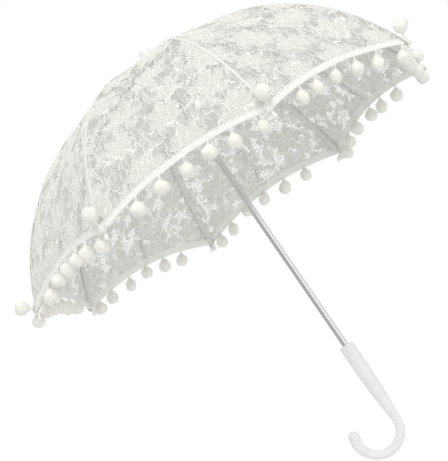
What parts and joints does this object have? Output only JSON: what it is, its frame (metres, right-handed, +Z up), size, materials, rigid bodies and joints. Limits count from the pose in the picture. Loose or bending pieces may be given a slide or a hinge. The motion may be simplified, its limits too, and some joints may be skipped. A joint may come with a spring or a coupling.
{
  "type": "lace parasol",
  "caption": "Small white lace parasol: a domed, scalloped lace canopy edged with pompoms on folding ribs, a thin chromed shaft with a sliding runner, and a white crook handle.",
  "frame": {"origin": "middle of the straight grip, on the shaft's axis", "axes": "+Z runs up the shaft to the ferrule, the crook curls towards -X, and Y completes the right-handed set"},
  "size_m": [0.5646, 0.5646, 0.5636],
  "materials": {
    "chromed_shaft": "polished",
    "white_plastic": "glossy moulded",
    "handle_plastic": "glossy moulded, pearl white",
    "steel_wire": "drawn wire",
    "spring_steel": "stamped sheet",
    "rib_wire": "satin off-white",
    "stretcher_wire": "satin off-white",
    "rivet_metal": "domed rivet",
    "lace": "embroidered cotton lace, open net ground",
    "pompom_cotton": "satin-stitched pompoms and folded tape"
  },
  "bodies": {
    "shaft": {"shaft_tube": "chromed_shaft", "ferrule_cap": "white_plastic", "crown_patch": "lace", "top_notch": "white_plastic", "top_notch_wire": "steel_wire", "runner_stop": "steel_wire", "catch_pins": "steel_wire", "handle": "handle_plastic"},
    "runner": {"runner": "white_plastic", "runner_wire": "steel_wire"},
    "top_catch": {"top_catch": "spring_steel"},
    "bottom_catch": {"bottom_catch": "spring_steel"},
    "rib_1": {"rib_1": "rib_wire", "rib_tip_1": "white_plastic", "rib_rivet_1": "rivet_metal", "canopy_panel_1": "lace", "pompom_trim_1": "pompom_cotton"},
    "stretcher_1": {"stretcher_1": "stretcher_wire"},
    "rib_2": {"rib_2": "rib_wire", "rib_tip_2": "white_plastic", "rib_rivet_2": "rivet_metal", "canopy_panel_2": "lace", "pompom_trim_2": "pompom_cotton"},
    "stretcher_2": {"stretcher_2": "stretcher_wire"},
    "rib_3": {"rib_3": "rib_wire", "rib_tip_3": "white_plastic", "rib_rivet_3": "rivet_metal", "canopy_panel_3": "lace", "pompom_trim_3": "pompom_cotton"},
    "stretcher_3": {"stretcher_3": "stretcher_wire"},
    "rib_4": {"rib_4": "rib_wire", "rib_tip_4": "white_plastic", "rib_rivet_4": "rivet_metal", "canopy_panel_4": "lace", "pompom_trim_4": "pompom_cotton"},
    "stretcher_4": {"stretcher_4": "stretcher_wire"},
    "rib_5": {"rib_5": "rib_wire", "rib_tip_5": "white_plastic", "rib_rivet_5": "rivet_metal", "canopy_panel_5": "lace", "pompom_trim_5": "pompom_cotton"},
    "stretcher_5": {"stretcher_5": "stretcher_wire"},
    "rib_6": {"rib_6": "rib_wire", "rib_tip_6": "white_plastic", "rib_rivet_6": "rivet_metal", "canopy_panel_6": "lace", "pompom_trim_6": "pompom_cotton"},
    "stretcher_6": {"stretcher_6": "stretcher_wire"},
    "rib_7": {"rib_7": "rib_wire", "rib_tip_7": "white_plastic", "rib_rivet_7": "rivet_metal", "canopy_panel_7": "lace", "pompom_trim_7": "pompom_cotton"},
    "stretcher_7": {"stretcher_7": "stretcher_wire"},
    "rib_8": {"rib_8": "rib_wire", "rib_tip_8": "white_plastic", "rib_rivet_8": "rivet_metal", "canopy_panel_8": "lace", "pompom_trim_8": "pompom_cotton"},
    "stretcher_8": {"stretcher_8": "stretcher_wire"}
  },
  "joints": [
    {"name": "runner_slide", "type": "slide", "parent": "shaft", "child": "runner", "axis": [0, 0, 1], "range_m": [-0.21197, 0]},
    {"name": "rib_1_fold", "type": "hinge", "parent": "shaft", "child": "rib_1", "pos_m": [0.00918, 0.00246, 0.436], "axis": [-0.2588, 0.9659, 0], "range_deg": [0, 52.03], "deforming": ["canopy_panel_1", "pompom_trim_1"]},
    {"name": "stretcher_1_swing", "type": "hinge", "parent": "rib_1", "child": "stretcher_1", "pos_m": [0.15851, 0.04247, 0.39478], "axis": [-0.2588, 0.9659, 0], "range_deg": [-104.05, 0]},
    {"name": "rib_2_fold", "type": "hinge", "parent": "shaft", "child": "rib_2", "pos_m": [0.00475, 0.00823, 0.436], "axis": [-0.866, 0.5, 0], "range_deg": [0, 52.03], "deforming": ["canopy_panel_2", "pompom_trim_2"]},
    {"name": "stretcher_2_swing", "type": "hinge", "parent": "rib_2", "child": "stretcher_2", "pos_m": [0.08205, 0.14211, 0.39478], "axis": [-0.866, 0.5, 0], "range_deg": [-104.05, 0]},
    {"name": "rib_3_fold", "type": "hinge", "parent": "shaft", "child": "rib_3", "pos_m": [-0.00246, 0.00918, 0.436], "axis": [-0.9659, -0.2588, 0], "range_deg": [0, 52.03], "deforming": ["canopy_panel_3", "pompom_trim_3"]},
    {"name": "stretcher_3_swing", "type": "hinge", "parent": "rib_3", "child": "stretcher_3", "pos_m": [-0.04247, 0.15851, 0.39478], "axis": [-0.9659, -0.2588, 0], "range_deg": [-104.05, 0]},
    {"name": "rib_4_fold", "type": "hinge", "parent": "shaft", "child": "rib_4", "pos_m": [-0.00823, 0.00475, 0.436], "axis": [-0.5, -0.866, 0], "range_deg": [0, 52.03], "deforming": ["canopy_panel_4", "pompom_trim_4"]},
    {"name": "stretcher_4_swing", "type": "hinge", "parent": "rib_4", "child": "stretcher_4", "pos_m": [-0.14211, 0.08205, 0.39478], "axis": [-0.5, -0.866, 0], "range_deg": [-104.05, 0]},
    {"name": "rib_5_fold", "type": "hinge", "parent": "shaft", "child": "rib_5", "pos_m": [-0.00918, -0.00246, 0.436], "axis": [0.2588, -0.9659, 0], "range_deg": [0, 52.03], "deforming": ["canopy_panel_5", "pompom_trim_5"]},
    {"name": "stretcher_5_swing", "type": "hinge", "parent": "rib_5", "child": "stretcher_5", "pos_m": [-0.15851, -0.04247, 0.39478], "axis": [0.2588, -0.9659, 0], "range_deg": [-104.05, 0]},
    {"name": "rib_6_fold", "type": "hinge", "parent": "shaft", "child": "rib_6", "pos_m": [-0.00475, -0.00823, 0.436], "axis": [0.866, -0.5, 0], "range_deg": [0, 52.03], "deforming": ["canopy_panel_6", "pompom_trim_6"]},
    {"name": "stretcher_6_swing", "type": "hinge", "parent": "rib_6", "child": "stretcher_6", "pos_m": [-0.08205, -0.14211, 0.39478], "axis": [0.866, -0.5, 0], "range_deg": [-104.05, 0]},
    {"name": "rib_7_fold", "type": "hinge", "parent": "shaft", "child": "rib_7", "pos_m": [0.00246, -0.00918, 0.436], "axis": [0.9659, 0.2588, 0], "range_deg": [0, 52.03], "deforming": ["canopy_panel_7", "pompom_trim_7"]},
    {"name": "stretcher_7_swing", "type": "hinge", "parent": "rib_7", "child": "stretcher_7", "pos_m": [0.04247, -0.15851, 0.39478], "axis": [0.9659, 0.2588, 0], "range_deg": [-104.05, 0]},
    {"name": "rib_8_fold", "type": "hinge", "parent": "shaft", "child": "rib_8", "pos_m": [0.00823, -0.00475, 0.436], "axis": [0.5, 0.866, 0], "range_deg": [0, 52.03], "deforming": ["canopy_panel_8", "pompom_trim_8"]},
    {"name": "stretcher_8_swing", "type": "hinge", "parent": "rib_8", "child": "stretcher_8", "pos_m": [0.14211, -0.08205, 0.39478], "axis": [0.5, 0.866, 0], "range_deg": [-104.05, 0]},
    {"name": "top_catch_press", "type": "hinge", "parent": "shaft", "child": "top_catch", "pos_m": [0.00026, 0.00198, 0.30011], "axis": [-0.9914, 0.1305, 0], "range_deg": [-7, 0], "stiffness_Nm_per_rad": 0.6, "springref_deg": 2.86},
    {"name": "bottom_catch_press", "type": "hinge", "parent": "shaft", "child": "bottom_catch", "pos_m": [0.00026, 0.00198, 0.13604], "axis": [-0.9914, 0.1305, 0], "range_deg": [0, 7], "stiffness_Nm_per_rad": 0.6, "springref_deg": -2.86}
  ],
  "couplings": [
    {"joint": "rib_1_fold", "follows": "runner_slide", "rad_per_m": -4.2816},
    {"joint": "stretcher_1_swing", "follows": "runner_slide", "rad_per_m": 8.5632},
    {"joint": "rib_2_fold", "follows": "runner_slide", "rad_per_m": -4.2816},
    {"joint": "stretcher_2_swing", "follows": "runner_slide", "rad_per_m": 8.5632},
    {"joint": "rib_3_fold", "follows": "runner_slide", "rad_per_m": -4.2816},
    {"joint": "stretcher_3_swing", "follows": "runner_slide", "rad_per_m": 8.5632},
    {"joint": "rib_4_fold", "follows": "runner_slide", "rad_per_m": -4.2816},
    {"joint": "stretcher_4_swing", "follows": "runner_slide", "rad_per_m": 8.5632},
    {"joint": "rib_5_fold", "follows": "runner_slide", "rad_per_m": -4.2816},
    {"joint": "stretcher_5_swing", "follows": "runner_slide", "rad_per_m": 8.5632},
    {"joint": "rib_6_fold", "follows": "runner_slide", "rad_per_m": -4.2816},
    {"joint": "stretcher_6_swing", "follows": "runner_slide", "rad_per_m": 8.5632},
    {"joint": "rib_7_fold", "follows": "runner_slide", "rad_per_m": -4.2816},
    {"joint": "stretcher_7_swing", "follows": "runner_slide", "rad_per_m": 8.5632},
    {"joint": "rib_8_fold", "follows": "runner_slide", "rad_per_m": -4.2816},
    {"joint": "stretcher_8_swing", "follows": "runner_slide", "rad_per_m": 8.5632}
  ]
}
